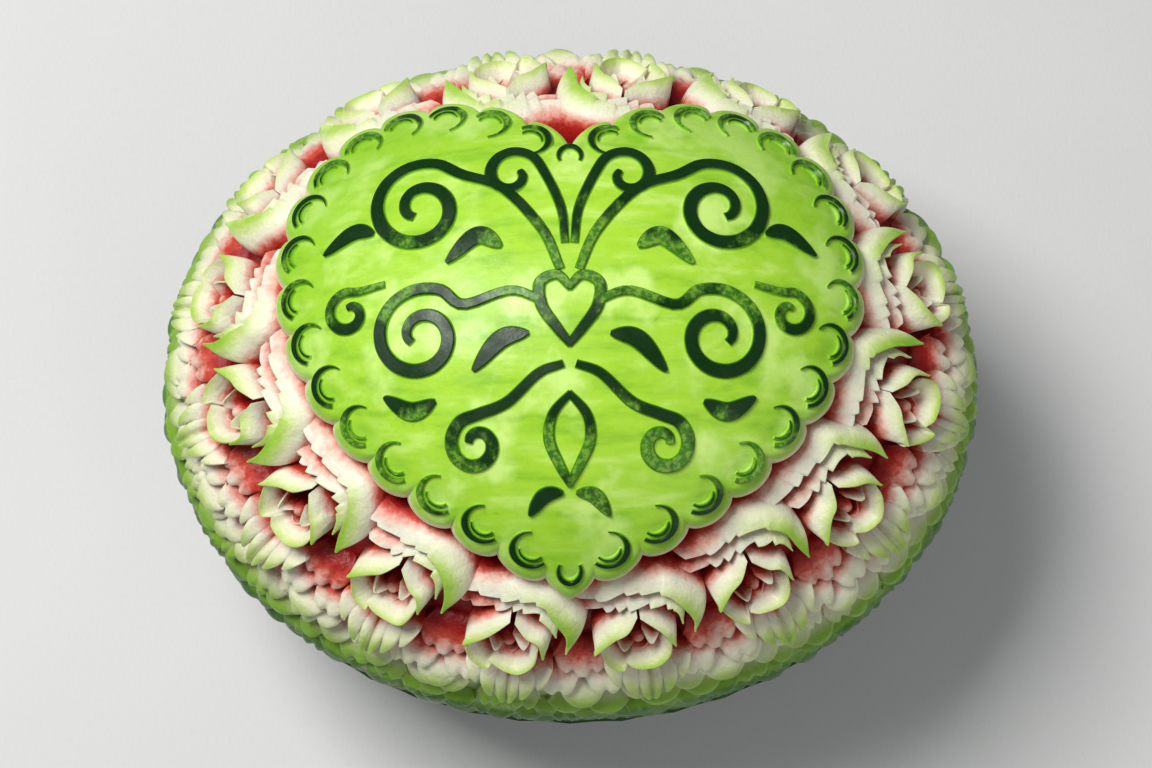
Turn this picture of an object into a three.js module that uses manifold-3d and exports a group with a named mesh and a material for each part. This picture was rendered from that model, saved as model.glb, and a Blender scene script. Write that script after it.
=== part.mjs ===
// A whole watermelon lying on its side and carved in relief: a scalloped heart plaque with scrollwork on top, a
// ring of roses round the heart, a leaf behind each rose, bumps between the leaves and uncut skin below the
// equator. The fruit is one solid. Millimetres, +Z up, X from stem end to blossom end, the origin in the middle
// of the small flat that the fruit rests on.
import * as THREE from "three";
import { mergeVertices } from "three/addons/utils/BufferGeometryUtils.js";
import Module from "manifold-3d";

// The uncut fruit
const MELON_LENGTH = 300;
const MELON_DIAMETER = 248;
const FLAT_CUT = 4; // slice taken off underneath so that the fruit doesn't roll

// The heart plaque, measured on its plan
const HEART_WIDTH = 202;
const HEART_LENGTH = 156; // notch to tip
const NOTCH_Y = 66.8; // from the fruit's middle to the notch between the lobes
const LOBE_RISE = 37; // how far the lobes' control points stand above the notch
const SCALLOPS_PER_SIDE = 16.5; // the tip is the middle of a scallop, the notch lies between two
const SCALLOP_HEIGHT = 3;
const PARED_SKIN = 1.5; // skin taken off the plaque
const RIM_BEVEL_WIDTH = 6;
const RIM_BEVEL_DROP = 5;
const WALL_LEAN = 3; // how far the wall under the rim leans out

// Scrollwork of skin left standing on the plaque
const STROKE_WIDTH = 4.5;
const STROKE_ROOT = 4; // how deep the strokes' solids reach under the skin
const STROKE_TAPER = 0.45; // share of the width left at a stroke's ends
// The strokes as points on the plan for the right side; each is mirrored to the left
const SCROLLS = [
  // half of the small heart
  [[-0.6, 9], [4.5, 13.5], [9.5, 9.5], [8, 2], [3.5, -3.5], [-0.6, -8]],
  // upper scroll, from the heart out to its spiral
  [[6, 20], [20, 34], [40, 47], [60, 42], [64, 28], [53, 20], [44, 28], [50, 35]],
  // lower scroll
  [[12, 3], [28, 12], [46, 6], [58, -8], [50, -20], [36, -17], [34, -6], [43, -6]],
];

// The carved ring between the heart and the skin: degrees down from the top, depths under the skin
const CHANNEL_END = 62;
const CHANNEL_DEPTH = 18; // red flesh
const LEAF_RING_END = 76;
const LEAF_GROUND_DEPTH = 7;
const SCALE_RING_START = 89;
const SCALE_GROUND_DEPTH = 1.4;
const BUMP_HEIGHT = 4; // bumps that stand on the ground round the leaves
const BORDER_ANGLE = 103; // where the uncut skin begins
const BORDER_WAVE = 1.6;
const BORDER_STEP = 1.2; // angle that the last cut's wall takes
const ROOT_DEPTH = 24; // how deep the petals' solids reach into the flesh

// Each rose, round its own bud
const ROSE_COUNT = 16;
const ROSE_LAG = 10.5; // how far each bud lies clockwise of its place in the ring, where its wing ends
const ROSE_EVENING = 2.7; // degrees at most that roses move towards the long sides, to be evenly spaced
const ROSE_ROOM = 17.5; // degrees from the heart's rim down to the buds
const ROSE_LIMIT = 66; // degrees down from the top that the buds keep above
const ROSE_LEAST_ROOM = 14; // degrees from the rim to the buds even where the limit leaves less
const PETAL_ROOT_THICKNESS = 5;
const PETAL_DROOP = 3; // how much deeper the free edge lies at a petal's ends
const BUD_RADIUS = 3.5;
const BUD_DEPTH = 6;
const LEAF_LENGTH = 22;
const LEAF_HALF_WIDTH = 12;
const LEAF_GAP = 12; // from the bud to the leaf's root
const LEAF_CREASE_DEPTH = 7;

// Petals as arcs round the bud: degrees from the outward direction, turning anticlockwise, and millimetres
const BUD_PETALS = [
  { from: 200, to: 310, radius: 9.5, lean: 3, depth: 3.5 },
  { from: 80, to: 190, radius: 10, lean: 3, depth: 3 },
  { from: -70, to: 70, radius: 11, lean: -1, depth: 3 },
];
const WING_CLEARANCE = 8; // between the outer wing and the heart's wall, where the wings are stretched to fit
const WING_PETALS = [
  { from: 112, to: 232, radius: 16, lean: 3, depth: 2.5 },
  { from: 102, to: 228, radius: 21.5, lean: 3.5, depth: 1.8 },
];

// Mesh
const COLUMNS_PER_SCALLOP = 3;
const PLAQUE_ROWS = 3;
const RING_ROWS = 5;
const SKIN_ROWS = 6;
const PETAL_STEPS = 3;
const STROKE_STEPS = 9;

const halfLength = MELON_LENGTH / 2;
const halfDiameter = MELON_DIAMETER / 2;
const centreHeight = halfDiameter - FLAT_CUT;
const radians = THREE.MathUtils.degToRad;
const { lerp, smoothstep } = THREE.MathUtils;

// The point under a place on the uncut skin, straight down its normal. The place may be off the skin; it is
// first drawn onto it, towards the fruit's middle.
function underSkin(place, depth) {
  const stretched = Math.hypot(place.x / halfLength, place.y / halfDiameter, place.z / halfDiameter);
  const skin = place.clone().divideScalar(stretched);
  const normal = new THREE.Vector3(
    skin.x / halfLength ** 2,
    skin.y / halfDiameter ** 2,
    skin.z / halfDiameter ** 2,
  ).normalize();
  return skin.addScaledVector(normal, -depth);
}

// around is the angle round +Z and down the angle from the top, both on the unit sphere that the fruit is
// stretched from
function onSkin(around, down) {
  return new THREE.Vector3(
    halfLength * Math.sin(down) * Math.cos(around),
    halfDiameter * Math.sin(down) * Math.sin(around),
    halfDiameter * Math.cos(down),
  );
}

function abovePlan(x, y) {
  const z = halfDiameter * Math.sqrt(1 - (x / halfLength) ** 2 - (y / halfDiameter) ** 2);
  return new THREE.Vector3(x, y, z);
}

// Right half of the heart's outline on the plan, from the notch to the tip
function heartHalf() {
  const side = HEART_WIDTH / 2;
  const tipY = NOTCH_Y - HEART_LENGTH;
  const widestY = NOTCH_Y - 0.29 * HEART_LENGTH;
  const lobe = new THREE.CubicBezierCurve(
    new THREE.Vector2(0, NOTCH_Y),
    new THREE.Vector2(0.43 * side, NOTCH_Y + LOBE_RISE),
    new THREE.Vector2(side, NOTCH_Y + LOBE_RISE / 3),
    new THREE.Vector2(side, widestY),
  );
  const flank = new THREE.CubicBezierCurve(
    new THREE.Vector2(side, widestY),
    new THREE.Vector2(side, widestY - 0.37 * HEART_LENGTH),
    new THREE.Vector2(0.42 * side, tipY + 0.1 * HEART_LENGTH),
    new THREE.Vector2(0, tipY),
  );
  const half = new THREE.CurvePath();
  half.add(lobe);
  half.add(flank);
  return half;
}

// Columns of the body's grid: one through each point of the scalloped rim, all the way round. Each has its
// angle round the fruit, how far down the rim lies there and how far along its scallop it is.
function rimColumns() {
  const half = heartHalf();
  const steps = SCALLOPS_PER_SIDE * COLUMNS_PER_SCALLOP;
  const right = [];
  for (let i = 0; i <= steps; i++) {
    const point = half.getPoint(i / steps);
    const swell = Math.abs(Math.sin((Math.PI * i) / COLUMNS_PER_SCALLOP));
    const reach = 1 + (SCALLOP_HEIGHT * (swell - 0.5)) / point.length();
    const x = (point.x * reach) / halfLength;
    const y = (point.y * reach) / halfDiameter;
    right.push({ around: Math.atan2(y, x), down: Math.asin(Math.hypot(x, y)), swell });
  }
  const left = right.slice(1).map((column) => ({ ...column, around: Math.PI - column.around }));
  return [...right.reverse(), ...left];
}

const columns = rimColumns();
const wallSweep = WALL_LEAN / halfDiameter;

// How far down the rim lies at an angle round the fruit; the columns run from -90 to 270 degrees
function rimDown(around) {
  const turned = THREE.MathUtils.euclideanModulo(around + Math.PI / 2, 2 * Math.PI) - Math.PI / 2;
  return columns.find((column) => column.around >= turned)?.down ?? columns[0].down;
}

function borderDown(swell) {
  return radians(BORDER_ANGLE + BORDER_WAVE * swell);
}

function ringDown(column, share) {
  return lerp(column.down + wallSweep, borderDown(column.swell) - radians(BORDER_STEP), share);
}

function ringDepth(down, swell) {
  const toLeaves = smoothstep(down, radians(CHANNEL_END), radians(LEAF_RING_END));
  const toScales = smoothstep(down, radians(LEAF_RING_END), radians(SCALE_RING_START));
  const leafGround = lerp(CHANNEL_DEPTH, LEAF_GROUND_DEPTH, toLeaves) - BUMP_HEIGHT * swell * toLeaves;
  return lerp(leafGround, SCALE_GROUND_DEPTH, toScales);
}

// One column of the surface from the top to the flat, as places with their depth
function surfaceRows(column) {
  const bevelDown = column.down - RIM_BEVEL_WIDTH / halfDiameter;
  const flatDown = Math.acos(-centreHeight / halfDiameter);
  const rows = [];
  for (let i = 0; i <= PLAQUE_ROWS; i++) {
    rows.push({ down: (bevelDown * i) / PLAQUE_ROWS, depth: PARED_SKIN });
  }
  rows.push({ down: column.down, depth: PARED_SKIN + RIM_BEVEL_DROP });
  for (let i = 0; i <= RING_ROWS; i++) {
    const down = ringDown(column, i / RING_ROWS);
    rows.push({ down, depth: ringDepth(down, column.swell) });
  }
  for (let i = 0; i <= SKIN_ROWS; i++) {
    rows.push({ down: lerp(borderDown(column.swell), flatDown, i / SKIN_ROWS), depth: 0 });
  }
  return rows;
}

// A closed solid from rows of points, each row a ring round the one before; the first and the last ring are one
// point repeated
function solidFromRings(rings) {
  const across = rings[0].length;
  const geometry = new THREE.SphereGeometry(1, across, rings.length - 1);
  const position = geometry.getAttribute("position");
  rings.forEach((ring, row) => {
    for (let i = 0; i <= across; i++) {
      const point = ring[i % across];
      position.setXYZ(row * (across + 1) + i, point.x, point.y, point.z);
    }
  });
  return geometry;
}

// The same, with flat ends across the first and the last ring
function capped(rings) {
  const middle = (ring) => {
    const sum = ring.reduce((total, point) => total.add(point), new THREE.Vector3());
    return sum.divideScalar(ring.length);
  };
  const first = middle(rings[0]);
  const last = middle(rings.at(-1));
  return solidFromRings([rings[0].map(() => first), ...rings, rings[0].map(() => last)]);
}

function carvedBody() {
  const grid = columns.map((column) =>
    surfaceRows(column).map(({ down, depth }) => underSkin(onSkin(column.around, down), depth)),
  );
  const rings = grid[0].map((_, row) => grid.map((column) => column[row]));
  const bottom = new THREE.Vector3(0, 0, -centreHeight);
  rings.push(columns.map(() => bottom));
  return solidFromRings(rings);
}

// A rose's own frame: origin on the skin over the bud, outward away from the heart, around anticlockwise
function roseFrame(index) {
  const turn = (2 * Math.PI * index) / ROSE_COUNT - Math.PI / 4 - radians(ROSE_LAG);
  const around = turn + radians(ROSE_EVENING) * Math.sin(2 * turn);
  const rim = rimDown(around);
  const wall = rim + wallSweep;
  const limited = Math.min(rim + radians(ROSE_ROOM), radians(ROSE_LIMIT));
  const down = Math.max(limited, rim + radians(ROSE_LEAST_ROOM));
  const origin = onSkin(around, down);
  const gap = origin.distanceTo(onSkin(around, wall));
  const up = origin.clone().sub(underSkin(origin, 1)).normalize();
  const aroundAxis = new THREE.Vector3(0, 0, 1).cross(up).normalize();
  const outward = aroundAxis.clone().cross(up);
  return { origin, outward, around: aroundAxis, gap };
}

function inRose(frame, outward, around, depth) {
  const place = frame.origin
    .clone()
    .addScaledVector(frame.outward, outward)
    .addScaledVector(frame.around, around);
  return underSkin(place, depth);
}

// A petal standing round the bud, a wedge from its root to its sharp free edge. The stretch draws the side
// towards the heart out to fill the room there.
function petal(frame, { from, to, radius, lean, depth }, stretch = 1) {
  const at = (angle, reach, under) => {
    const outward = reach * Math.cos(radians(angle));
    return inRose(frame, outward * (outward < 0 ? stretch : 1), reach * Math.sin(radians(angle)), under);
  };
  const rings = [];
  for (let i = 0; i <= PETAL_STEPS; i++) {
    const share = i / PETAL_STEPS;
    const angle = lerp(from, to, share);
    const fullness = Math.sin(Math.PI * lerp(0.12, 0.88, share));
    const edgeDepth = depth + PETAL_DROOP * (1 - fullness);
    const edge = radius - lean * fullness;
    const root = radius + lean;
    rings.push([
      at(angle, root, ROOT_DEPTH),
      at(angle, edge, edgeDepth),
      at(angle, root - PETAL_ROOT_THICKNESS, ROOT_DEPTH),
    ]);
  }
  return capped(rings);
}

// The bud's heart: a blunt cone
function bud(frame) {
  const section = (radius, depth) =>
    [0, 90, 180, 270].map((angle) => {
      const outward = radius * Math.cos(radians(angle));
      return inRose(frame, outward, radius * Math.sin(radians(angle)), depth);
    });
  return capped([section(BUD_RADIUS * 0.6, BUD_DEPTH), section(BUD_RADIUS * 1.5, ROOT_DEPTH)]);
}

// The leaf behind a rose: it rises outwards to a point and is creased along its middle
function leaf(frame) {
  const half = LEAF_HALF_WIDTH;
  const end = LEAF_GAP + LEAF_LENGTH;
  const middle = LEAF_GAP + LEAF_LENGTH / 2;
  const outline = [
    { outward: LEAF_GAP, around: 0, depth: 15 },
    { outward: middle, around: half, depth: 6 },
    { outward: end - 4, around: half * 0.55, depth: 3 },
    { outward: end, around: 0, depth: 2.2 },
    { outward: end - 4, around: -half * 0.55, depth: 3 },
    { outward: middle, around: -half, depth: 6 },
  ];
  const crease = inRose(frame, middle + 2, 0, LEAF_CREASE_DEPTH);
  const foot = inRose(frame, middle, 0, ROOT_DEPTH);
  outline.reverse();
  return solidFromRings([
    outline.map(() => crease),
    outline.map(({ outward, around, depth }) => inRose(frame, outward, around, depth)),
    outline.map(({ outward, around }) => inRose(frame, outward - 3, around * 0.8, ROOT_DEPTH)),
    outline.map(() => foot),
  ]);
}

// A stroke of skin along a curve drawn on the plan
function stroke(curve, width) {
  const rings = [];
  for (let i = 0; i <= STROKE_STEPS; i++) {
    const share = i / STROKE_STEPS;
    const point = curve.getPointAt(share);
    const tangent = curve.getTangentAt(share);
    const half = (width / 2) * lerp(STROKE_TAPER, 1, Math.sin(Math.PI * share));
    const side = new THREE.Vector2(-tangent.y, tangent.x).multiplyScalar(half);
    const left = abovePlan(point.x + side.x, point.y + side.y);
    const right = abovePlan(point.x - side.x, point.y - side.y);
    rings.push([
      underSkin(left, 0),
      underSkin(left, STROKE_ROOT),
      underSkin(right, STROKE_ROOT),
      underSkin(right, 0),
    ]);
  }
  return capped(rings);
}

function scrollwork() {
  return SCROLLS.flatMap((points) =>
    [1, -1].map((side) => {
      const run = points.map(([x, y]) => new THREE.Vector2(side * x, y));
      return stroke(new THREE.SplineCurve(run), STROKE_WIDTH);
    }),
  );
}

const wasm = await Module();
wasm.setup();

function toManifold(geometry) {
  geometry.deleteAttribute("uv");
  geometry.deleteAttribute("normal");
  const welded = mergeVertices(geometry, 1e-4);
  const mesh = new wasm.Mesh({
    numProp: 3,
    vertProperties: welded.getAttribute("position").array,
    triVerts: new Uint32Array(welded.index.array),
  });
  return new wasm.Manifold(mesh);
}

function fromManifold(solid) {
  const mesh = solid.getMesh();
  const geometry = new THREE.BufferGeometry();
  geometry.setAttribute("position", new THREE.BufferAttribute(mesh.vertProperties, mesh.numProp));
  geometry.setIndex(new THREE.BufferAttribute(mesh.triVerts, 1));
  geometry.computeVertexNormals();
  return geometry;
}

const carvings = scrollwork();
for (let index = 0; index < ROSE_COUNT; index++) {
  const frame = roseFrame(index);
  const wingStretch = Math.max(1, (frame.gap - WING_CLEARANCE) / WING_PETALS.at(-1).radius);
  carvings.push(...BUD_PETALS.map((shape) => petal(frame, shape)));
  carvings.push(...WING_PETALS.map((shape) => petal(frame, shape, wingStretch)));
  carvings.push(bud(frame), leaf(frame));
}
const solid = carvings.reduce((joined, carving) => joined.add(toManifold(carving)), toManifold(carvedBody()));

const watermelon = new THREE.Mesh(
  fromManifold(solid).translate(0, 0, centreHeight),
  new THREE.MeshStandardMaterial({ color: 0x9fc24a, roughness: 0.45, metalness: 0 }),
);
watermelon.name = "watermelon";

const fruit = new THREE.Group();
fruit.add(watermelon);

export default fruit;
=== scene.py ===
"""A carved watermelon: heart plaque with scrollwork, roses, leaves, bumps, scales and rind."""
import math

import bpy
import mathutils
import numpy as np
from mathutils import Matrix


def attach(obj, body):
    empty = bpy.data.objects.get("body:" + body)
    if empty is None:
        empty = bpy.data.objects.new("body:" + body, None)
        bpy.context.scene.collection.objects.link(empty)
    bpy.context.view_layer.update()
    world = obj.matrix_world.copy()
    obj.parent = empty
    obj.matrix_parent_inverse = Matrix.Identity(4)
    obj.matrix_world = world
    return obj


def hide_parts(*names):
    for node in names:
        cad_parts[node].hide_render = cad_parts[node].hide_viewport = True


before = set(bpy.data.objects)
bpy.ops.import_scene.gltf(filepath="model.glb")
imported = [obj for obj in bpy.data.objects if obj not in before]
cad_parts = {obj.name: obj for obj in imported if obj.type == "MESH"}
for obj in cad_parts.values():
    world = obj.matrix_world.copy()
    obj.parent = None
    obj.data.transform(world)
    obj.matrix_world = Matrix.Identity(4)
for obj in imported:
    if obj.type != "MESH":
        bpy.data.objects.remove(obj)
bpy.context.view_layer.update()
NODE = "watermelon"

# The uncut fruit, in millimetres, as the CAD has it: an ellipsoid with a small flat underneath
HALF = np.array([150.0, 124.0, 124.0])  # half its length, width and height
FLAT_CUT = 4.0
CENTRE_HEIGHT = HALF[2] - FLAT_CUT
MM = 0.001

# The heart plaque, measured on its plan
HEART_HALF_WIDTH = 101.0
NOTCH_Y = 66.8
TIP_Y = -89.2
WIDEST_Y = 21.5
LOBE_RISE = 37.0  # how far the lobes' control points stand above the notch
FLANK_DROP = 58.0  # how far the flanks' control points stand below the widest place
TIP_RISE = 15.6  # and above the tip
SCALLOPS_PER_SIDE = 16.5  # the tip is the middle of a scallop, the notch lies between two
COLUMNS_PER_SCALLOP = 20
SCALLOP_HEIGHT = 2.4
PARED = 1.5  # skin taken off the top
BEVEL = 7.0
BEVEL_DROP = 4.2
BEVEL_CURVE = 1.9  # how late the bevel starts to fall
VALLEY_DEPTH = 1.5  # between two scallops
DISH_DEPTH = 0.7  # hollow in a scallop's middle
DISH_INWARD = 11.0
DISH_WIDTH = 3.2
RIM_ZONE = 19.0  # band along the rim that is meshed finely
TOP_ROWS = 40
ZONE_ROWS = 44
WALL_ROWS = 14
LIP_DROP = 0.42
LIP_BULGE = 0.5
UNDERCUT = 5.0
PLAQUE_ROOT = 22.0
# A raised stroke's side from its root up: how far past the half width, and how deep
STROKE_SIDE = [(1.1, 4.5), (0.1, 0.95), (-0.55, 0.1)]

# The carved ring, in degrees down from the top and millimetres under the skin
FLOOR_DEPTH = 18.0
ROSE_COUNT = 16
ROSE_LAG = 10.5  # degrees that each bud lies clockwise of its place in the ring
ROSE_EVENING = 2.7  # degrees at most that roses move towards the long sides
ROSE_ROOM = 17.5  # from the heart's rim down to the buds
ROSE_LIMIT = 66.0  # lowest place of a bud
SCALES_BELOW = 16.5  # from the roses down to the first scales
BORDER = 103.0  # where the uncut skin begins
PETAL_ROOT = 21.0
FACE_ROWS = 9  # rows of points from a petal's or tile's base to its edge, on either face

random = np.random.default_rng(7)


# ------------------------------------------------------------------------------- the fruit's shape

def unit(vectors):
    return vectors / np.linalg.norm(vectors, axis=-1, keepdims=True)


def normal_at(skin):
    return unit(skin / HALF**2)


def under_skin(place, depth):
    """The point this deep under the skin, for places on or near it, about the fruit's middle."""
    skin = place / np.linalg.norm(place / HALF, axis=-1, keepdims=True)
    return skin - normal_at(skin) * np.asarray(depth)[..., None]


def on_skin(around, down):
    """A point on the skin from angles, in radians, on the sphere the fruit is stretched from."""
    around, down = np.broadcast_arrays(around, down)
    level = np.sin(down)
    return np.stack([level * np.cos(around), level * np.sin(around), np.cos(down)], -1) * HALF


def above_plan(x, y):
    """The point on the skin above this place on the plan."""
    height = np.sqrt(1 - (x / HALF[0]) ** 2 - (y / HALF[1]) ** 2)
    return np.stack([x, y, HALF[2] * height], -1)


class Spot:
    """A tangent frame on the skin: out runs away from the top, side anticlockwise from above."""

    def __init__(self, origin):
        self.origin = origin
        self.up = normal_at(origin)
        self.side = unit(np.cross([0, 0, 1], self.up))
        self.out = np.cross(self.side, self.up)

    def at(self, side, out, depth):
        side, out, depth = np.broadcast_arrays(side, out, depth)
        place = self.origin + side[..., None] * self.side + out[..., None] * self.out
        return under_skin(place, depth)


def smooth(value, low, high):
    """A smooth step from 0 to 1 as the value goes from low to high."""
    t = np.clip((value - low) / (high - low), 0, 1)
    return t * t * (3 - 2 * t)


def through(points, count):
    """A smooth curve through a few points, as this many points."""
    points = np.asarray(points, float)
    padded = np.vstack([2 * points[0] - points[1], points, 2 * points[-1] - points[-2]])
    place = np.linspace(0, len(points) - 1 - 1e-9, count)
    i = place.astype(int)
    t = (place - i)[:, None]
    a, b, c, d = (padded[i + k] for k in range(4))
    bend = 2 * a - 5 * b + 4 * c - d
    return 0.5 * (2 * b + (c - a) * t + bend * t**2 + (3 * b - a - 3 * c + d) * t**3)


# ------------------------------------------------------------------------------------------ meshes

def loft(rings):
    """Vertices and faces of a closed solid through rings of points, with a fan over each end."""
    rings = np.asarray(rings)
    rows, across = rings.shape[:2]
    vertices = np.vstack([rings.reshape(-1, 3), rings[0].mean(0), rings[-1].mean(0)])
    here = np.arange(across)
    after = np.roll(here, -1)
    faces = []
    for row in range(rows - 1):
        low, high = row * across, (row + 1) * across
        faces += np.stack([low + here, high + here, high + after, low + after], -1).tolist()
    first, last = rows * across, rows * across + 1
    faces += np.stack([np.full(across, first), here, after], -1).tolist()
    end = (rows - 1) * across
    faces += np.stack([np.full(across, last), end + after, end + here], -1).tolist()
    return vertices, faces


def mesh_object(name, vertices, faces):
    """A mesh in the frame's metres, its faces turned outward."""
    placed = (vertices + [0, 0, CENTRE_HEIGHT]) * MM
    mesh = bpy.data.meshes.new(name)
    mesh.from_pydata(placed.tolist(), [], faces)
    mesh.update()
    if signed_volume(mesh) < 0:
        mesh.flip_normals()
    obj = bpy.data.objects.new(name, mesh)
    bpy.context.scene.collection.objects.link(obj)
    return obj


def signed_volume(mesh):
    mesh.calc_loop_triangles()
    corners = np.empty(len(mesh.vertices) * 3)
    mesh.vertices.foreach_get("co", corners)
    index = np.empty(len(mesh.loop_triangles) * 3, int)
    mesh.loop_triangles.foreach_get("vertices", index)
    a, b, c = corners.reshape(-1, 3)[index.reshape(-1, 3)].transpose(1, 0, 2)
    return np.einsum("ij,ij->i", a, np.cross(b, c)).sum()


def united(name, solids):
    """One object from the union of several closed solids."""
    base, *others = (mesh_object(f"{name}_{i}", *solid) for i, solid in enumerate(solids))
    if others:
        operands = bpy.data.collections.new(f"{name}_operands")
        bpy.context.scene.collection.children.link(operands)
        for other in others:
            operands.objects.link(other)
        union = base.modifiers.new("union", "BOOLEAN")
        union.operation = "UNION"
        union.operand_type = "COLLECTION"
        union.collection = operands
        union.solver = "MANIFOLD"
        depsgraph = bpy.context.evaluated_depsgraph_get()
        mesh = bpy.data.meshes.new_from_object(base.evaluated_get(depsgraph))
        base.modifiers.clear()
        base.data = mesh
        for other in others:
            bpy.data.objects.remove(other)
        bpy.data.collections.remove(operands)
    base.name = base.data.name = name
    return base


# --------------------------------------------------------------------------------- the heart's rim

def bezier(a, b, c, d, t):
    t = t[:, None]
    return (1 - t) ** 3 * a + 3 * (1 - t) ** 2 * t * b + 3 * (1 - t) * t**2 * c + t**3 * d


def heart_side(shares):
    """Points on the right side of the heart's plan, at shares of its run from notch to tip."""
    width = HEART_HALF_WIDTH
    fine = np.linspace(0, 1, 400)
    lobe = bezier(
        np.array([0, NOTCH_Y]),
        np.array([0.43 * width, NOTCH_Y + LOBE_RISE]),
        np.array([width, NOTCH_Y + LOBE_RISE / 3]),
        np.array([width, WIDEST_Y]),
        fine,
    )
    flank = bezier(
        np.array([width, WIDEST_Y]),
        np.array([width, WIDEST_Y - FLANK_DROP]),
        np.array([0.42 * width, TIP_Y + TIP_RISE]),
        np.array([0, TIP_Y]),
        fine,
    )
    line = np.vstack([lobe, flank[1:]])
    run = np.concatenate([[0], np.cumsum(np.linalg.norm(np.diff(line, axis=0), axis=1))])
    places = np.asarray(shares) * run[-1]
    return np.stack([np.interp(places, run, line[:, i]) for i in range(2)], -1)


def rim_columns():
    """Columns all round the plaque: angle round, angle down to the rim, swell of the scallop."""
    steps = int(SCALLOPS_PER_SIDE * COLUMNS_PER_SCALLOP)
    count = np.arange(steps + 1)
    plan = heart_side(count / steps)
    swell = np.abs(np.sin(np.pi * count / COLUMNS_PER_SCALLOP))
    reach = 1 + SCALLOP_HEIGHT * (swell - 0.6) / np.linalg.norm(plan, axis=1)
    x, y = (plan * reach[:, None] / HALF[:2]).T
    around, down = np.arctan2(y, x), np.arcsin(np.hypot(x, y))
    right = np.stack([around, down, swell], -1)[::-1]
    left = right[-2:0:-1] * [-1, 1, 1] + [np.pi, 0, 0]
    return np.vstack([right, left]).T


RIM_AROUND, RIM_DOWN, RIM_SWELL = rim_columns()


def rim_down(around):
    """The angle from the top down to the plaque's rim, at this angle round."""
    turn = 2 * np.pi
    around = (np.asarray(around) + np.pi / 2) % turn - np.pi / 2
    places = np.append(RIM_AROUND, RIM_AROUND[0] + turn)
    return np.interp(around, places, np.append(RIM_DOWN, RIM_DOWN[0]))


# --------------------------------------------------------------------------- plaque and scrollwork

def plaque():
    """The heart's top, bevel, lip and undercut wall, down into the flesh."""
    rings = []
    inner = RIM_DOWN - RIM_ZONE / HALF[2]
    for share in np.linspace(0.02, 1, TOP_ROWS):
        rings.append(under_skin(on_skin(RIM_AROUND, inner * share), np.full(len(inner), PARED)))
    for inward in np.linspace(RIM_ZONE, 0, ZONE_ROWS)[1:]:
        slope = np.clip(1 - inward / BEVEL, 0, 1)
        valley = VALLEY_DEPTH * (1 - RIM_SWELL) ** 4 * smooth(inward, BEVEL + 4, 3)
        bell = math.exp(-(((inward - DISH_INWARD) / DISH_WIDTH) ** 2))
        dish = DISH_DEPTH * bell * RIM_SWELL**4
        depth = PARED + BEVEL_DROP * slope**BEVEL_CURVE + valley + dish
        rings.append(under_skin(on_skin(RIM_AROUND, RIM_DOWN - inward / HALF[2]), depth))
    edge = PARED + BEVEL_DROP + VALLEY_DEPTH * (1 - RIM_SWELL) ** 4
    for fall in np.linspace(0, 1, WALL_ROWS)[1:]:
        bulge = LIP_BULGE * math.sin(math.pi * min(1, fall * 3))
        inward = UNDERCUT * smooth(fall, 0, 1) - bulge
        depth = edge + LIP_DROP + (PLAQUE_ROOT - edge) * fall
        rings.append(under_skin(on_skin(RIM_AROUND, RIM_DOWN - inward / HALF[2]), depth))
    return loft(rings)


def stroke(line, half_width):
    """A raised stroke of skin along points on the skin, with sloping sides."""
    half_width = np.broadcast_to(half_width, len(line))
    up = normal_at(line)
    side = unit(np.cross(up, np.gradient(line, axis=0)))
    section = []
    right = [(1, reach, depth) for reach, depth in STROKE_SIDE]
    left = [(-1, reach, depth) for reach, depth in reversed(STROKE_SIDE)]
    for sign, reach, depth in right + left:
        offset = sign * np.maximum(half_width + reach, 0.1 * half_width)
        section.append(under_skin(line + side * offset[:, None], np.full(len(line), depth)))
    return loft(np.stack(section, 1))


CRESCENT_INWARD = 11.0  # from the rim to the crescents' middle
# Their radius, half width, start and end in degrees from outward, and where they are widest, as a
# share of the way from start to end
CRESCENTS = [(6.4, 1.15, -56, 157, 0.45), (4.1, 0.4, -66, 67, 0.5)]
# The curls at the tip and under the notch: where their middle is, and which way they bulge
CURLS = [(TIP_Y + 10.5, -1), (NOTCH_Y - 10, 1)]
CURL_RADIUS = 3.7
CURL_STEPS = 24
SCROLL_STEPS = 90


def crescents():
    """In each scallop but the tip's a thick crescent, and a thin one beside it."""
    solids = []
    for i in range(math.ceil(SCALLOPS_PER_SIDE)):
        share = (i + 0.5) / SCALLOPS_PER_SIDE
        if share > 0.99:
            continue
        here, ahead = heart_side([share, share + 0.004])
        tangent = unit(ahead - here)
        outward = np.array([-tangent[1], tangent[0]])
        centre = here - outward * CRESCENT_INWARD
        for mirror in (1, -1):
            flip = np.array([mirror, 1])
            spot = Spot(above_plan(*(centre * flip)))
            axes = np.stack([outward * flip, -tangent * flip])
            for shape in CRESCENTS:
                solids.append(crescent(spot, axes, *shape))
    return solids


def curls():
    """A small U in the heart's tip, and one upside down under its notch."""
    solids = []
    for middle, outward in CURLS:
        angles = np.radians(np.linspace(-30, 210, CURL_STEPS))
        swell = np.sin(np.linspace(0, np.pi, CURL_STEPS))
        x = CURL_RADIUS * np.cos(angles)
        y = middle + outward * CURL_RADIUS * np.sin(angles)
        solids.append(stroke(above_plan(x, y), 0.5 + 0.7 * swell))
    return solids


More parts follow.
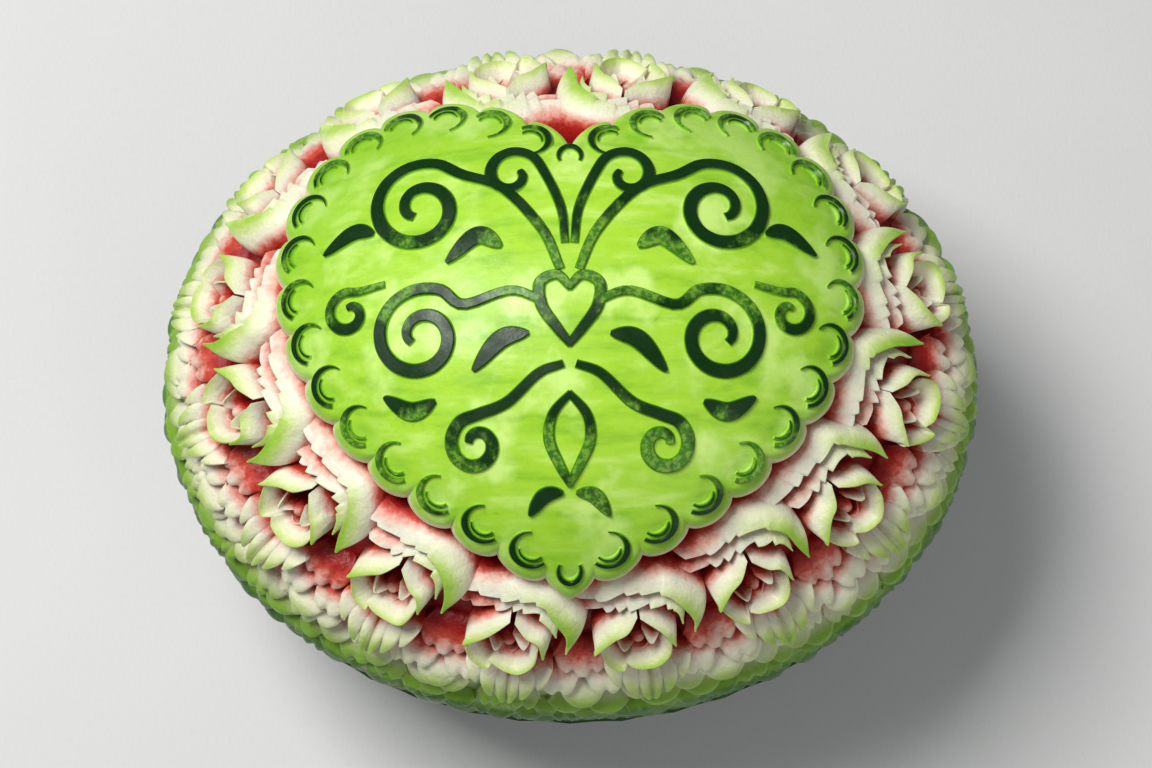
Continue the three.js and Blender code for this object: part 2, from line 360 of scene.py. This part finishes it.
def crescent(spot, axes, radius, width, start, end, heavy):
    """An arc that swells in its middle. axes are the plan's directions for 0 and 90 degrees."""
    t = np.linspace(0, 1, 26)
    angle = np.radians(start + (end - start) * t)
    plan = np.cos(angle)[:, None] * axes[0] + np.sin(angle)[:, None] * axes[1]
    world = np.concatenate([plan, np.zeros((len(t), 1))], 1)
    world -= (world @ spot.up)[:, None] * spot.up
    line = under_skin(spot.origin + unit(world) * radius, np.zeros(len(t)))
    growing = 0.5 + 0.5 * np.sin(np.pi / 2 * t / heavy)
    fading = np.cos(np.pi / 2 * (t - heavy) / (1 - heavy))
    taper = np.where(t < heavy, growing, fading)
    return stroke(line, 0.12 + width * taper)


def spiral(x, y, radius, tight, start, turn, count=12):
    """Points winding about x, y from this radius to a tight one, angles in degrees."""
    angles = np.radians(start + turn * np.linspace(0, 1, count))
    radii = radius + (tight - radius) * np.linspace(0, 1, count)
    return np.stack([x + radii * np.cos(angles), y + radii * np.sin(angles)], -1)


BLUNT, POINTED = 0.5, 0.04  # share of a stroke's width left at its ends


def scrolls():
    """The right side's scrolls, leaves and half hearts: plan points, half width, kind of end."""

    def joined(spiral_points, *lead):
        return np.vstack([lead, spiral_points])

    return [
        (joined(spiral(49, 39, 18, 3.5, 140, -560, 18), [3, 16], [9, 30], [22, 45]), 2.5, BLUNT),
        (joined(spiral(48, -5, 17, 3.5, 145, -540, 18), [8, 5], [19, 9]), 2.4, BLUNT),
        ([[-0.4, 9.5], [4, 14], [9.5, 11.5], [9, 4], [4, -3.5], [-0.4, -9]], 2.0, BLUNT),
        (joined(spiral(30, -40, 9.5, 2.5, 95, -440), [2, -15], [10, -18], [20, -27]), 2.3, BLUNT),
        ([[-0.4, -24], [5.5, -31], [6.5, -39], [3, -47], [-0.4, -53]], 1.8, BLUNT),
        (joined(spiral(19, 50, 10, 3, 165, -370, 11), [1.5, 25], [3, 38]), 2.1, BLUNT),
        (joined(spiral(72, 4, 8, 2.2, 115, -400, 11), [60, 13]), 2.0, BLUNT),
        ([[64, 31], [71, 32], [81, 25]], 3.2, POINTED),
        ([[22, 24], [30, 28], [40, 19]], 3.4, POINTED),
        ([[13, -5], [22, -7], [31, -17]], 3.2, POINTED),
        ([[43, -26], [51, -29], [60, -24]], 3.2, POINTED),
        ([[2, -55], [8, -56], [13, -62]], 2.7, POINTED),
    ]


def scrollwork():
    solids = []
    swell = np.sin(np.pi * np.linspace(0.02, 0.98, SCROLL_STEPS)) ** 0.6
    for mirror in (1, -1):
        for points, width, end in scrolls():
            x, y = (through(points, SCROLL_STEPS) * [mirror, 1]).T
            solids.append(stroke(above_plan(x, y), width * (end + (1 - end) * swell)))
    return solids


# ------------------------------------------------------------------------------------------- roses

HOOK_DEPTH = 1.5  # how deep a hook's foot lies under its free edge
EDGE_THICKNESS = 0.45
EDGE_BEVEL = 0.25  # how much deeper the back's edge lies


def petal(spot, edge, lean, drop=6.0, thick=2.6, hook=(0, 0), teeth=None, steps=30, fade=0.85):
    """A petal round the bud at the spot. edge is its free edge as (side, out, depth). The face that
    shows falls away from the edge by lean: outward from the bud if positive, inward if negative. A
    hook frees that share of an end from the flesh, so that it points, and takes the fade off its
    lean there. teeth gives their number, the shares of the edge where they start and end, and
    their height."""
    line = through(edge, steps)
    share = np.linspace(0, 1, steps)
    notch = np.zeros(steps)
    if teeth:
        count, low, high, height = teeth
        place = np.clip((share - low) / (high - low), 0, 1)
        place = place + 0.05 * np.sin(2 * np.pi * (place * 1.7 + random.uniform()))
        notch = height * (np.clip(place, 0, 1) * count % 1) ** 1.6 * (place < 1)
    away = unit(line[:, :2])
    free = 1 - smooth(share, 0, hook[0]) if hook[0] else np.zeros(steps)
    if hook[1]:
        free = np.maximum(free, smooth(share, 1 - hook[1], 1))
    kept = 1 - fade * free - (0.95 - fade) * free**5
    rings = []
    t = np.linspace(0, 1, FACE_ROWS)
    foot = line[:, 2] + (PETAL_ROOT - line[:, 2]) * (1 - free) + HOOK_DEPTH * free
    for face in (1, -1):
        for k in t[::face]:
            mid = 2 * k * (1 - k) + k * k
            fall = 2 * k * (1 - k) * (line[:, 2] + drop * kept) + (1 - k) ** 2 * line[:, 2]
            depth = fall + k * k * foot
            depth = depth + notch * (1 - k) ** 3
            shift = lean * mid * kept + notch * (1 - k) ** 3
            if face == -1:
                shift = shift - np.sign(lean) * (EDGE_THICKNESS + thick * k * kept)
                depth = depth + EDGE_BEVEL
            place = line[:, :2] + away * shift[:, None]
            rings.append(spot.at(place[:, 0], place[:, 1], depth))
    return loft(np.stack(rings, 1))


# Free edges of a rose's petals: (side, out, depth) from the bud
LEFT_PETAL = [(0, -18, 5.2), (-4.5, -12.5, 3.6), (-9.5, -9.5, 3), (-15.4, -3.5, 2.3)]
RIGHT_PETAL = [(12.2, -2, 2.2), (9.6, -8.2, 2.9), (5.5, -11, 3.6), (0.8, -16.5, 5.2)]
OUTER_PETAL = [(10.4, -3, 5), (9.6, 3.5, 3.1), (5.2, 8, 2.6), (-1.5, 8, 3), (-5.5, 5.2, 4.2)]
LOWER_PETAL = [(-5.5, 6, 4.6), (-7.2, 9, 3.1), (-11.5, 5, 3.2), (-14.5, -3, 4.4)]
INNER_PETALS = [
    [(-7.6, -4.5, 9.5), (-5.2, 0.4, 5.6), (-1.8, 0.5, 9.5)],
    [(1.2, -6.8, 9), (4.6, -1.6, 5.6), (7.2, -2.8, 9)],
    [(-2.6, 4.4, 11), (0.8, 5.2, 9), (4.6, 3, 11)],
]
# The four round the bud, with their lean, drop and hooks
BUD_PETALS = [
    (LEFT_PETAL, 6.8, 4.5, (0, 0.3)),
    (RIGHT_PETAL, 6, 4.5, (0.3, 0)),
    (OUTER_PETAL, -5.5, 9, (0.12, 0.12)),
    (LOWER_PETAL, -4.5, 7.5, (0.12, 0.12)),
]
# Wings: petals between bud and heart, drawn for the usual room there, stretched for others
WING_ROOM = 38.0
WING_NEAREST = -14.0  # points nearer to the bud than this stay where they are
WING_OUTER = [
    (-19.5, -28, 7.4), (-11.5, -27, 6.6), (-4, -27.4, 5.8), (3, -28.4, 4.6),
    (10, -27.6, 3.2), (15.5, -22, 2.3), (18.4, -15, 1.9), (20, -7.5, 1.7),
]
WING_INNER = [
    (-18.5, -21, 8.6), (-12, -19.4, 7.6), (-5, -19.8, 6.6), (2, -21.6, 5.4),
    (8, -21.8, 4.2), (13.4, -18.2, 3.4), (15.8, -12.5, 3),
]
WING_STEPS = 80
WING_FADE = 0.6
EDGE_JITTER = 0.5  # how far points of a petal's edge stray
INNER_JITTER = 0.4
SHALLOWEST_EDGE = 1.7


def stretched(edge, room):
    """A wing's edge drawn towards the heart, or away from it, to fill the room up to the wall."""
    factor = (room + WING_NEAREST) / (WING_ROOM + WING_NEAREST)
    side, out, depth = np.array(edge).T
    drawn = np.where(out > WING_NEAREST, out, WING_NEAREST + (out - WING_NEAREST) * factor)
    return np.stack([side, drawn, depth], -1)


def rose_down(around):
    """The angle from the top down to the buds."""
    return min(rim_down(around) + np.radians(ROSE_ROOM), np.radians(ROSE_LIMIT))


def rose_spot(index):
    """The spot of a rose's bud, and its room: how far it stands from the plaque's rim."""
    turn = np.radians(360 / ROSE_COUNT * index - ROSE_LAG)
    around = turn + np.radians(ROSE_EVENING) * np.sin(2 * turn)
    wall = rim_down(around)
    down = rose_down(around)
    spot = Spot(on_skin(around, down))
    spot.room = np.linalg.norm(spot.origin - on_skin(around, wall))
    spot.around, spot.down = around, down
    return spot


def jitter(edge, amount):
    """An edge whose points stray a little, so that no two petals are the same."""
    edge = np.array(edge, float)
    edge[:, :2] += random.normal(0, amount, edge[:, :2].shape)
    edge[:, 2] += random.normal(0, amount * 0.4)
    edge[:, 2] = np.maximum(edge[:, 2], SHALLOWEST_EDGE)
    return edge


def bud(spot):
    angle = np.linspace(0, 2 * np.pi, 14, endpoint=False)
    rings = []
    for radius, depth in ((0.5, 9.6), (1.6, 10), (2.6, 11.4), (3.6, 14.5), (5, PETAL_ROOT)):
        side, out = radius * np.cos(angle) - 0.3, 0.6 + radius * np.sin(angle)
        rings.append(spot.at(side, out, depth))
    return loft(rings)


def rose(index):
    spot = rose_spot(index)
    solids = [bud(spot)]
    for edge, lean, drop, hook in BUD_PETALS:
        solids.append(petal(spot, jitter(edge, EDGE_JITTER), lean, drop=drop, hook=hook))
    for edge in INNER_PETALS:
        solids.append(petal(spot, jitter(edge, INNER_JITTER), 2.2, drop=3, thick=1.6, steps=16))
    inner = stretched(jitter(WING_INNER, EDGE_JITTER), spot.room)
    outer = stretched(jitter(WING_OUTER, EDGE_JITTER), spot.room)
    wing = {"steps": WING_STEPS, "fade": WING_FADE}
    solids.append(petal(spot, inner, 8.5, 3.2, hook=(0, 0.25), teeth=(5.5, 0, 0.8, 1.5), **wing))
    solids.append(petal(spot, outer, 12, 3.6, hook=(0, 0.22), teeth=(4.5, 0, 0.62, 0.9), **wing))
    return solids


# ------------------------------------------------------------------------------- leaves and scales

LEAF_REACH = 38.0  # from the bud to the leaf's tip
LEAF_TURN = 0.01  # radians anticlockwise of the bud
LEAF_HALF_WIDTH = 16.0
LEAF_LENGTH = 27.0
LEAF_BASE = 17.0
LEAF_EDGE = 2.2
LEAF_LOBES = 2.7  # on each side of its crease
LEAF_COLUMNS = 121
TILE_DOME = 3.2  # how much deeper a tile's sides lie than its middle
TILE_THICKNESS = 0.6
TILE_BEVEL = 0.3  # how far the back's edge stays behind the face's
BUMP_ROOT = 6.0  # how much deeper a bump's root lies than its base


def tile(spot, half_width, length, base, edge, root, outline, relief, narrow=0.6, columns=25):
    """A leaf or scale that rises outward to a free edge: base, edge and root are depths. outline
    gives how far the edge reaches, as a share of the length, for s from -1 to 1 across it; relief
    adds depth for s and for t from 0 at the base to 1 at the edge."""
    s = np.linspace(-1, 1, columns)
    rings = []
    t = np.linspace(0, 1, FACE_ROWS)
    reach = outline(s)
    dome = TILE_DOME * np.abs(s) ** 2.2
    for face in (1, -1):
        for k in t[::face]:
            rise = math.sin(math.pi / 2 * k)
            side = s * half_width * (narrow + (1 - narrow) * rise)
            out = -length + k * length * reach
            top = base + (edge - base) * rise**0.9 + dome * (0.3 + 0.7 * k) + relief(s, k)
            if face == -1:
                top = top + TILE_THICKNESS
                top = np.maximum(top, top + (root - top) * (1 - k) ** 0.5)
                out = out - TILE_BEVEL
            rings.append(spot.at(side, out, top))
    return loft(np.stack(rings, 1))


def leaf(index):
    """The feathered leaf behind a rose: lobes on both sides of a crease that ends in a point."""
    spot = rose_spot(index)
    tip = Spot(on_skin(spot.around + LEAF_TURN, spot.down + LEAF_REACH / HALF[2]))

    def saw(s):
        return (np.abs(s) * LEAF_LOBES + 0.2) % 1

    def outline(s):
        return 1 - 0.78 * np.abs(s) - 0.17 * saw(s) ** 2

    def relief(s, t):
        lobe = 3.8 * saw(s) ** 4 + 1.2 * (1 - saw(s)) ** 8
        crease = 2.6 * np.exp(-((s / 0.06) ** 2))
        return t * lobe + crease * (1 - 0.4 * t)

    size = (LEAF_HALF_WIDTH, LEAF_LENGTH, LEAF_BASE, LEAF_EDGE, PETAL_ROOT)
    return tile(tip, *size, outline, relief, narrow=0.45, columns=LEAF_COLUMNS)


def bump(around, down, half_width, length, base, edge, lobes=1, columns=25):
    """A rounded bump or scale whose free edge lies at these angles, in radians and degrees."""
    spot = Spot(on_skin(around, np.radians(down)))

    def crease(s):
        if lobes == 1:
            return 0 * s
        return np.abs(np.cos(np.pi / 2 * (s + 1) * lobes)) ** 5 * (np.abs(s) < 0.98)

    def outline(s):
        return 0.35 + 0.65 * np.maximum(0, 1 - s**2) ** 0.55 - 0.1 * crease(s)

    def relief(s, t):
        return 1.6 * t * crease(s)

    size = (half_width, length, base, edge, base + BUMP_ROOT)
    return tile(spot, *size, outline, relief, columns=columns)


# Bumps beside each leaf: place round as a share of the roses' pitch, degrees below the roses, half
# width, length, depths of base and edge, lobes, columns
LEAF_BUMPS = [
    (0, 9.5, 10.5, 15, 16.5, 8.0, 3, 49),
    (-0.15, 14.5, 7.6, 13, 14.5, 5.0, 2, 37),
    (0.15, 14.5, 7.6, 13, 14.5, 5.0, 2, 37),
    (0, 18.5, 7.5, 12, 12, 3.4, 1, 25),
]
# Rows of scales: degrees down to the free edge, half width, length, depths of base and edge
SCALE_ROWS = [
    (74.5, 5.8, 10, 12.5, 4.6),
    (78.5, 6.2, 10, 11, 3.8),
    (82.5, 6.6, 9, 9.5, 3.0),
    (86.5, 6.6, 9, 8.0, 2.4),
    (90.5, 7.0, 9, 7.0, 2.0),
    (94.5, 7.0, 9, 6.2, 1.7),
    (98.5, 7.2, 9, 5.6, 1.5),
    (102.0, 7.2, 8, 5.0, 1.4),
]
SCALES_PER_ROW = 56
# How scales stray: round as a share of their pitch, down in degrees, in width, and deeper by up to
SCALE_SWAY = 0.1
SCALE_DRIFT = 0.8
SCALE_WIDTHS = (0.75, 1.25)
SCALE_SINK = 1.2
PLAIN_SCALES = 0.6  # share of scales with one lobe; the others have two


def scale_rows():
    """Bumps beside the leaves, then scales in staggered rows down to the border."""
    solids = []
    pitch = 2 * np.pi / ROSE_COUNT
    for i in range(ROSE_COUNT):
        spot, following = rose_spot(i), rose_spot(i + 1)
        gap = spot.around + pitch / 2
        down = math.degrees((spot.down + following.down) / 2)
        for share, below, *shape in LEAF_BUMPS:
            solids.append(bump(gap + share * pitch, down + below, *shape))
    for row, (down, half_width, length, base, edge) in enumerate(SCALE_ROWS):
        for i in range(SCALES_PER_ROW):
            turn = i + row % 2 / 2 + random.normal(0, SCALE_SWAY)
            around = 2 * np.pi * turn / SCALES_PER_ROW
            place = down + random.normal(0, SCALE_DRIFT)
            width = half_width * random.uniform(*SCALE_WIDTHS)
            sunk = edge + random.uniform(0, SCALE_SINK)
            if place > math.degrees(rose_down(around)) + SCALES_BELOW:
                lobes = 1 if random.uniform() < PLAIN_SCALES else 2
                solids.append(bump(around, place, width, length, base, sunk, lobes))
    return solids


# ---------------------------------------------------------------------------------------- the body

BODY_COLUMNS = 576
BORDER_WAVES = 24
BORDER_WAVE = 1.5  # degrees
# Degrees down to where the floor starts to rise, where it rises less, and the last scales' ground
LEAF_GROUND, BUMP_GROUND, SCALE_GROUND = 64.0, 78.0, 92.0
LEAF_RISE, BUMP_RISE = 8.0, 5.0


def body():
    """The flesh floor, rising to the scales' ground, the border, the rind and the flat."""
    around = np.linspace(0, 2 * np.pi, BODY_COLUMNS, endpoint=False)
    border = BORDER + BORDER_WAVE * np.abs(np.sin(BORDER_WAVES * around))
    flat = math.degrees(math.acos(-CENTRE_HEIGHT / HALF[2]))
    rings = []

    def ring(down, depth):
        place = on_skin(around, np.radians(down))
        rings.append(under_skin(place, np.full(len(around), depth)))

    for down in np.concatenate([np.linspace(1, 28, 6), np.linspace(30, SCALE_GROUND, 90)]):
        rise = LEAF_RISE * smooth(down, LEAF_GROUND, BUMP_GROUND)
        ring(down, FLOOR_DEPTH - rise - BUMP_RISE * smooth(down, BUMP_GROUND, SCALE_GROUND))
    for share in np.linspace(0, 1, 14)[1:]:
        ring(SCALE_GROUND + (border - 0.8 - SCALE_GROUND) * share, 5 - 2 * share)
    ring(border - 0.1, 0.35)
    for share in np.linspace(0, 1, 36):
        ring(border + (flat - border) * share, 0)
    for share in (0.97, 0.7, 0.4, 0.1):
        rings.append(rings[-1] * [share, share, 1])
    return loft(rings)


# ---------------------------------------------------------------------------------------- building

SHARP_ANGLE = 40.0


def finish_piece(obj, material):
    """Smooth shading but for sharp edges, and the piece's place in the frame."""
    obj.data.materials.clear()
    obj.data.materials.append(material)
    obj.data.polygons.foreach_set("use_smooth", [True] * len(obj.data.polygons))
    obj.data.set_sharp_from_angle(angle=math.radians(SHARP_ANGLE))
    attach(obj, "root")
    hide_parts(NODE)


class Graph:
    """Shader nodes of one material, wired by calls that take numbers, tuples or sockets."""

    def __init__(self, name):
        self.material = bpy.data.materials.new(name)
        self.material.use_nodes = True
        self.nodes = self.material.node_tree.nodes
        self.links = self.material.node_tree.links
        self.shader = self.nodes["Principled BSDF"]

    def feed(self, socket, value):
        if isinstance(value, bpy.types.NodeSocket):
            self.links.new(value, socket)
        else:
            socket.default_value = value

    def maths(self, operation, *values):
        node = self.nodes.new("ShaderNodeMath")
        node.operation = operation
        for socket, value in zip(node.inputs, values):
            self.feed(socket, value)
        return node.outputs[0]

    def times(self, first, second):
        return self.maths("MULTIPLY", first, second)

    def centred(self, noise, reach):
        """Noise between 0 and 1 spread about zero, by this reach from end to end."""
        return self.times(self.maths("SUBTRACT", noise, 0.5), reach)

    def vector(self, operation, *values):
        node = self.nodes.new("ShaderNodeVectorMath")
        node.operation = operation
        for socket, value in zip(node.inputs, values):
            self.feed(socket, value)
        return node.outputs["Value" if operation == "LENGTH" else "Vector"]

    def split(self, vector):
        node = self.nodes.new("ShaderNodeSeparateXYZ")
        self.feed(node.inputs[0], vector)
        return node.outputs

    def noise(self, place, scale, detail=3.0, roughness=0.55):
        node = self.nodes.new("ShaderNodeTexNoise")
        self.feed(node.inputs["Vector"], place)
        node.inputs["Scale"].default_value = scale
        node.inputs["Detail"].default_value = detail
        node.inputs["Roughness"].default_value = roughness
        return node.outputs["Fac"]

    def between(self, value, low, high, start=0.0, end=1.0):
        """A smooth step from start to end as the value goes from low to high."""
        node = self.nodes.new("ShaderNodeMapRange")
        node.interpolation_type = "SMOOTHSTEP"
        for socket, number in zip(node.inputs, (value, low, high, start, end)):
            self.feed(socket, number)
        return node.outputs[0]

    def mix(self, share, first, second):
        node = self.nodes.new("ShaderNodeMix")
        node.data_type = "RGBA"
        for place, value in ((0, share), (6, first), (7, second)):
            self.feed(node.inputs[place], value)
        return node.outputs[2]

    def ramp(self, value, reach, stops):
        """Colours at places from zero to the reach."""
        node = self.nodes.new("ShaderNodeValToRGB")
        elements = node.color_ramp.elements
        for position, colour in stops[2:]:
            elements.new(position / reach)
        for element, (position, colour) in zip(elements, stops):
            element.position = position / reach
            element.color = (*colour, 1)
        self.feed(node.inputs[0], self.maths("DIVIDE", value, reach))
        return node.outputs[0]

    def bump(self, height, strength, distance, under=None):
        node = self.nodes.new("ShaderNodeBump")
        node.inputs["Strength"].default_value = strength
        node.inputs["Distance"].default_value = distance
        self.feed(node.inputs["Height"], height)
        if under is not None:
            self.feed(node.inputs["Normal"], under)
        return node.outputs[0]


# Colours from the skin inwards, by millimetres under it. The darker green at 2 mm is painted shade
# on the plaque's bevel. Below 11 mm the red darkens, partly as the flesh's own deeper red and
# partly as painted shade in the deep channels
COLOUR_REACH = 20.0
FLESH_AND_SHADE_COLOURS = [
    (0.0, (0.010, 0.055, 0.008)), (0.45, (0.018, 0.085, 0.008)), (0.8, (0.09, 0.27, 0.010)),
    (1.25, (0.39, 0.66, 0.040)), (2.0, (0.32, 0.58, 0.045)), (2.8, (0.38, 0.58, 0.09)),
    (3.9, (0.58, 0.68, 0.27)), (5.2, (0.75, 0.78, 0.49)), (7.4, (0.80, 0.75, 0.60)),
    (9.2, (0.75, 0.42, 0.33)), (10.9, (0.58, 0.08, 0.05)), (13.2, (0.37, 0.014, 0.011)),
    (COLOUR_REACH, (0.20, 0.005, 0.005)),
]
SKIN_STRIPES = 12
SKIN_DARK = (0.004, 0.030, 0.004, 1)
SKIN_GREEN = (0.045, 0.18, 0.012, 1)
SKIN_PALE = (0.17, 0.33, 0.035, 1)
LINE_GREEN = (0.17, 0.42, 0.014, 1)
# painted shade towards the plaque's rim
RIM_SHADE_GREEN = (0.17, 0.42, 0.012, 1)
# pale flesh green, partly painted highlight
PATCH_AND_HIGHLIGHT_GREEN = (0.60, 0.82, 0.22, 1)
# outer scales' green, partly painted shade
OUTER_GREEN_AND_SHADE = (0.035, 0.14, 0.008, 1)


def flesh_material():
    """Melon from the skin to the red flesh: its colour follows the depth under the uncut skin, with
    painted shade and painted highlight mixed in.
    """
    graph = Graph("melon_flesh")
    coordinates = graph.nodes.new("ShaderNodeTexCoord").outputs["Object"]
    middle = graph.vector("SUBTRACT", coordinates, (0, 0, CENTRE_HEIGHT * MM))
    sphere = graph.vector("DIVIDE", middle, tuple(HALF * MM))
    length = graph.vector("LENGTH", sphere)
    slope = graph.vector("LENGTH", graph.vector("DIVIDE", sphere, tuple(HALF)))
    depth = graph.times(graph.maths("SUBTRACT", 1.0, length), length)
    depth = graph.maths("DIVIDE", depth, slope)
    _, y, z = graph.split(sphere)

    # the depth that the colour is taken from: uneven, and less on the outer scales
    patches = graph.noise(coordinates, 45, 4)
    grain = graph.noise(coordinates, 420, 3)
    sway = graph.maths("ADD", graph.centred(patches, 0.9), graph.centred(grain, 0.35))
    shown = graph.times(depth, graph.maths("ADD", 1.0, sway))
    shown = graph.times(shown, graph.between(z, 0.36, 0.05, 1.0, 0.32))
    shown = graph.maths("SUBTRACT", shown, graph.between(z, 0.32, 0.04, 0.0, 0.45))
    colour = graph.ramp(graph.maths("MAXIMUM", shown, 0.0), COLOUR_REACH, FLESH_AND_SHADE_COLOURS)

    # mottled green just under the skin, with darker lines that run from end to end; the pale
    # patches and streaks are partly the flesh's own mottling and partly painted highlight
    along = graph.noise(graph.vector("MULTIPLY", coordinates, (0.22, 1, 1)), 130, 5, 0.62)
    roll = graph.maths("ARCTAN2", y, z)

    def stripes(wander):
        bent = graph.maths("ADD", roll, graph.centred(patches, wander))
        return graph.maths("SINE", graph.times(bent, SKIN_STRIPES))

    thin = graph.between(graph.maths("ABSOLUTE", stripes(0.07)), 0.2, 0.0)
    thin = graph.times(thin, graph.between(patches, 0.35, 0.6, 0.15, 0.8))
    near = graph.between(depth, 3.2, 1.7)
    dark = graph.maths("MAXIMUM", graph.times(graph.between(along, 0.5, 0.72), 0.6), thin)
    colour = graph.mix(graph.times(dark, near), colour, LINE_GREEN)
    streaks = graph.between(along, 0.5, 0.3, 0.0, 0.6)
    pale_and_highlight = graph.maths("MAXIMUM", streaks, graph.between(patches, 0.48, 0.66, 0.0, 0.9))
    pale_and_highlight = graph.times(graph.times(pale_and_highlight, near), graph.between(depth, 1.0, 1.4))
    colour = graph.mix(pale_and_highlight, colour, PATCH_AND_HIGHLIGHT_GREEN)

    # painted shade: darker green towards the plaque's rim; darker green on the outer scales, partly
    # the rind's own green and partly painted shade
    rim = graph.times(graph.between(z, 0.94, 0.70, 0.0, 0.45), near)
    colour = graph.mix(graph.times(rim, graph.between(z, 0.5, 0.6)), colour, RIM_SHADE_GREEN)
    # lower down, the outer scales darken: partly the green of rind cut shallow, partly painted
    # shade
    colour = graph.mix(graph.between(z, 0.31, 0.03, 0.0, 0.62), colour, OUTER_GREEN_AND_SHADE)

    # the skin itself: jagged lighter stripes, speckled
    ragged = graph.noise(graph.vector("MULTIPLY", coordinates, (1, 0.6, 0.6)), 110, 6, 0.7)
    stripe = graph.maths("ADD", stripes(0.5), graph.centred(ragged, 4.2))
    speckle = graph.between(graph.noise(coordinates, 650, 2), 0.42, 0.6)
    light_skin = graph.mix(speckle, SKIN_GREEN, SKIN_PALE)
    skin = graph.mix(graph.between(stripe, 0.1, 1.1), SKIN_DARK, light_skin)
    colour = graph.mix(graph.between(depth, 0.75, 0.35), colour, skin)
    graph.feed(graph.shader.inputs["Base Color"], colour)

    # wet flesh with fine fibres and cells; the skin is smoother
    wet = graph.noise(coordinates, 95, 3)
    rough = graph.between(wet, 0.35, 0.7, 0.24, 0.46)
    flesh_share = graph.between(depth, 1.2, 4.0, 0.15, 1.0)
    graph.feed(graph.shader.inputs["Roughness"], rough)
    cells = graph.times(graph.noise(coordinates, 900, 4, 0.6), flesh_share)
    swells = graph.times(graph.noise(coordinates, 160, 3), flesh_share)
    normal = graph.bump(cells, 0.5, 0.0005, graph.bump(swells, 0.5, 0.0018))
    graph.feed(graph.shader.inputs["Normal"], normal)
    graph.shader.inputs["Subsurface Weight"].default_value = 0.3
    graph.shader.inputs["Subsurface Radius"].default_value = (0.0026, 0.0020, 0.0012)
    graph.shader.inputs["Subsurface Scale"].default_value = 1.0
    graph.shader.inputs["IOR"].default_value = 1.36
    graph.shader.inputs["Specular IOR Level"].default_value = 0.4
    return graph.material


flesh = flesh_material()
finish_piece(united("carved_body", [body()] + scale_rows()), flesh)
finish_piece(united("heart_plaque", [plaque()] + crescents() + curls() + scrollwork()), flesh)
for number in range(ROSE_COUNT):
    finish_piece(united(f"rose_{number + 1:02d}", rose(number) + [leaf(number)]), flesh)


# --------------------------------------------------------------------- floor, light and the camera

CARD = (0.69, 0.685, 0.67, 1)
CARD_LIGHT = (0.715, 0.71, 0.695, 1)
CARD_FIBRE = (0.62, 0.615, 0.60, 1)


def floor_material():
    """Pale matt card: faint clouding, fine fibres and a slightly uneven sheen."""
    graph = Graph("floor")
    coordinates = graph.nodes.new("ShaderNodeTexCoord").outputs["Object"]
    clouds = graph.noise(coordinates, 5, 4)
    fibres = graph.noise(graph.vector("MULTIPLY", coordinates, (1, 0.35, 1)), 900, 3, 0.6)
    colour = graph.mix(graph.between(clouds, 0.3, 0.7), CARD, CARD_LIGHT)
    colour = graph.mix(graph.between(fibres, 0.45, 0.75, 0.0, 0.25), colour, CARD_FIBRE)
    graph.feed(graph.shader.inputs["Base Color"], colour)
    graph.feed(graph.shader.inputs["Roughness"], graph.between(clouds, 0.3, 0.7, 0.55, 0.7))
    graph.feed(graph.shader.inputs["Normal"], graph.bump(fibres, 0.25, 0.0003))
    return graph.material


def floor():
    bpy.ops.mesh.primitive_plane_add(size=6, location=(0, 0, 0))
    obj = bpy.context.object
    obj.name = "floor"
    obj.data.materials.append(floor_material())


def area_light(name, place, size, watts, aim=(0, 0, 0.1)):
    light = bpy.data.lights.new(name, "AREA")
    light.size = size
    light.energy = watts
    obj = bpy.data.objects.new(name, light)
    bpy.context.scene.collection.objects.link(obj)
    obj.location = place
    direction = np.array(aim) - np.array(place)
    obj.rotation_euler = mathutils.Vector(direction).to_track_quat("-Z", "Y").to_euler()


def camera(elevation, distance, lens, aim):
    """A camera in front of the fruit that looks down on it."""
    data = bpy.data.cameras.new("camera")
    data.lens = lens
    data.sensor_width = 36
    obj = bpy.data.objects.new("camera", data)
    bpy.context.scene.collection.objects.link(obj)
    rise = math.radians(elevation)
    obj.location = np.array(aim) + distance * np.array([0, -math.cos(rise), math.sin(rise)])
    obj.rotation_euler = (math.radians(90 - elevation), 0, 0)
    bpy.context.scene.camera = obj


floor()
area_light("key", (-0.45, 0.3, 1.3), size=0.5, watts=17.5)
area_light("fill", (0.7, -0.8, 0.9), size=0.9, watts=3)
camera(elevation=80, distance=1.0, lens=86.3, aim=(0.002, 0, 0.12))
world = bpy.data.worlds.new("studio")
world.use_nodes = True
world.node_tree.nodes["Background"].inputs["Color"].default_value = (0.8, 0.85, 0.9, 1)
world.node_tree.nodes["Background"].inputs["Strength"].default_value = 0.2
bpy.context.scene.world = world
bpy.context.scene.view_settings.view_transform = "Standard"
